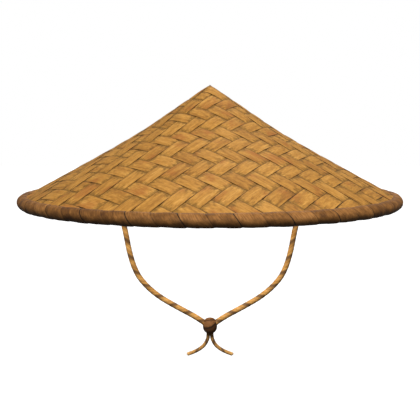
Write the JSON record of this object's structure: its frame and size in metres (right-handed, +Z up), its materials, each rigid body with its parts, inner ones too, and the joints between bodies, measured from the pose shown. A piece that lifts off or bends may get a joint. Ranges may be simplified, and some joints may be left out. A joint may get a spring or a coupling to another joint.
{
  "type": "conical hat",
  "caption": "Conical twill-woven bamboo hat with a spirally bound rim, rib-and-hoop frame, padded head ring and a twisted chin cord with a sliding bead.",
  "frame": {"origin": "middle of the head ring, on the cone's axis, where the wearer's head holds the hat", "axes": "+Z up along the cone's axis to the crown; +X towards the wearer's left ear; -Y towards the wearer's face"},
  "size_m": [0.42, 0.42, 0.3045],
  "materials": {
    "woven_strip": "dry split strip, satin",
    "rim_wrap": "dark cane wrap, satin",
    "split_bamboo": "split bamboo, satin",
    "lashing_cane": "waxed thread",
    "sweatband_cloth": "plain cotton",
    "tab_leather": "matte leather",
    "chin_cord": "twisted fibre cord",
    "bead_wood": "polished dark wood"
  },
  "bodies": {
    "hat": {"woven_cone": "woven_strip", "rim_binding": "rim_wrap", "rim_hoop": "split_bamboo", "rim_splint": "split_bamboo", "crown_boss": "split_bamboo", "crown_hoop": "split_bamboo", "middle_hoop": "split_bamboo", "outer_hoop": "split_bamboo", "ring_upper_hoop": "split_bamboo", "ring_lower_hoop": "split_bamboo", "ring_band": "split_bamboo", "sweatband": "sweatband_cloth", "cord_tab_right": "tab_leather", "cord_tab_left": "tab_leather", "cord_root_right": "chin_cord", "cord_root_left": "chin_cord", "rib_1": "split_bamboo", "rib_2": "split_bamboo", "rib_3": "split_bamboo", "rib_4": "split_bamboo", "rib_5": "split_bamboo", "rib_6": "split_bamboo", "rib_7": "split_bamboo", "rib_8": "split_bamboo", "ring_lashing_1": "lashing_cane", "ring_lashing_2": "lashing_cane", "ring_lashing_3": "lashing_cane", "ring_lashing_4": "lashing_cane", "ring_lashing_5": "lashing_cane", "ring_lashing_6": "lashing_cane", "ring_lashing_7": "lashing_cane", "ring_lashing_8": "lashing_cane"},
    "chin_cord": {"hanging_knot_right": "chin_cord", "hanging_knot_left": "chin_cord", "cord_leg_right": "chin_cord", "cord_leg_left": "chin_cord", "cord_tail_right": "chin_cord", "cord_tail_left": "chin_cord"},
    "bead": {"chin_bead": "bead_wood"}
  },
  "joints": [
    {"name": "chin_cord_swing", "type": "hinge", "parent": "hat", "child": "chin_cord", "pos_m": [0, 0, -0.0234], "axis": [1, 0, 0], "range_deg": [-70, 70]},
    {"name": "bead_slide", "type": "slide", "parent": "chin_cord", "child": "bead", "axis": [0, 0, 1], "range_m": [-0.015, 0.045], "deforming": ["cord_leg_right", "cord_leg_left", "cord_tail_right", "cord_tail_left"]}
  ]
}
